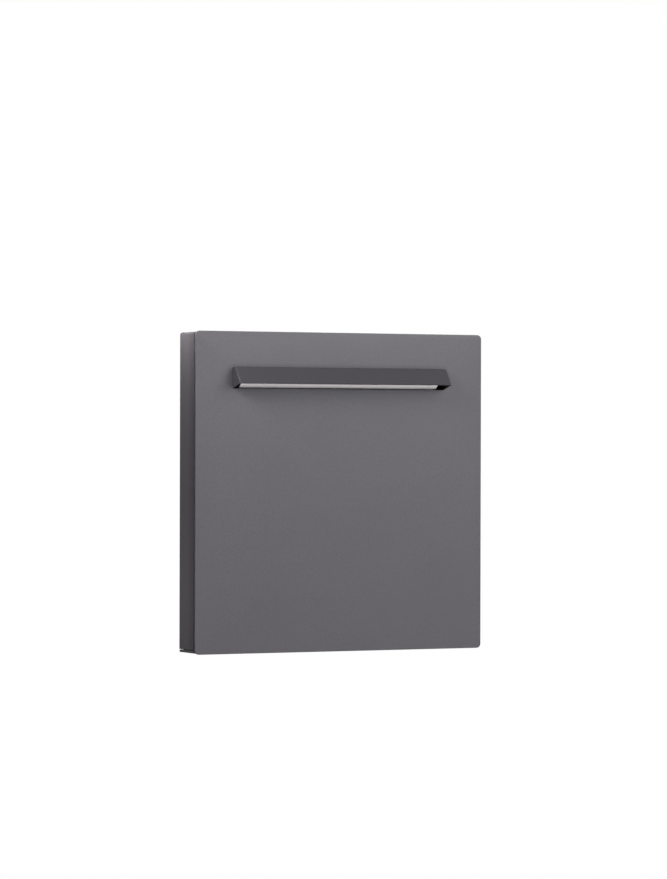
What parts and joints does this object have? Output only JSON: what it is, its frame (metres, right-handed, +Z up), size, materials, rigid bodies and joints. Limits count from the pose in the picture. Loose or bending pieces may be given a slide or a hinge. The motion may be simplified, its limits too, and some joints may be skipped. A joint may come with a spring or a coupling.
{
  "type": "wall mounted mailbox",
  "caption": "Slim square wall mailbox: a flat hinged door with a folded weather hood over its letter slot, an inward swinging steel letter flap and a cam lock underneath.",
  "frame": {"origin": "centre of the wall face, on the back panel's rear face", "axes": "+X to the right seen from the front, +Y into the wall, +Z up"},
  "size_m": [0.4, 0.0718, 0.4],
  "materials": {
    "door_paint": "fine textured metallic grey powder coat on a 3 mm aluminium plate",
    "housing_paint": "fine textured metallic grey powder coat",
    "hood_paint": "smooth satin dark grey paint",
    "stainless_steel": "brushed",
    "zinc_plate": "zinc plated",
    "brass": "turned",
    "rubber": "matt black",
    "nylon": "black"
  },
  "bodies": {
    "housing": {"housing_shell": "housing_paint", "front_frame": "housing_paint", "back_panel": "housing_paint", "bottom_plate": "housing_paint", "hinge_body_leaf_upper": "zinc_plate", "hinge_body_leaf_lower": "zinc_plate", "hinge_pin_upper": "zinc_plate", "hinge_pin_lower": "zinc_plate", "door_buffer_upper": "rubber", "door_buffer_lower": "rubber", "lock_barrel": "zinc_plate", "lock_nut": "zinc_plate"},
    "door": {"door_panel": "door_paint", "slot_hood": "hood_paint", "hinge_door_leaf_upper": "zinc_plate", "hinge_door_leaf_lower": "zinc_plate", "hinge_stud_1": "zinc_plate", "hinge_stud_2": "zinc_plate", "hinge_stud_3": "zinc_plate", "hinge_stud_4": "zinc_plate", "hinge_nut_1": "zinc_plate", "hinge_nut_2": "zinc_plate", "hinge_nut_3": "zinc_plate", "hinge_nut_4": "zinc_plate", "hood_stud_1": "zinc_plate", "hood_stud_2": "zinc_plate", "hood_stud_3": "zinc_plate", "hood_stud_4": "zinc_plate", "hood_nut_1": "zinc_plate", "hood_nut_2": "zinc_plate", "hood_nut_3": "zinc_plate", "hood_nut_4": "zinc_plate", "door_catch": "zinc_plate", "catch_stud_1": "zinc_plate", "catch_stud_2": "zinc_plate", "catch_nut_1": "zinc_plate", "catch_nut_2": "zinc_plate", "flap_bush_left": "nylon", "flap_bush_right": "nylon", "flap_buffer_left": "rubber", "flap_buffer_right": "rubber"},
    "letter_flap": {"letter_flap": "stainless_steel", "flap_rod": "stainless_steel"},
    "lock_core": {"lock_plug": "brass", "lock_cam": "zinc_plate", "lock_cam_screw": "zinc_plate"}
  },
  "joints": [
    {"name": "door_hinge", "type": "hinge", "parent": "housing", "child": "door", "pos_m": [0.198, -0.0452, 0], "axis": [0, 0, 1], "range_deg": [0, 110]},
    {"name": "letter_flap_hinge", "type": "hinge", "parent": "door", "child": "letter_flap", "pos_m": [0, -0.06035, 0.14154], "axis": [1, 0, 0], "range_deg": [0, 60]},
    {"name": "lock_turn", "type": "hinge", "parent": "housing", "child": "lock_core", "pos_m": [-0.15, -0.0245, -0.1778], "axis": [0, 0, 1], "range_deg": [0, 90]}
  ]
}
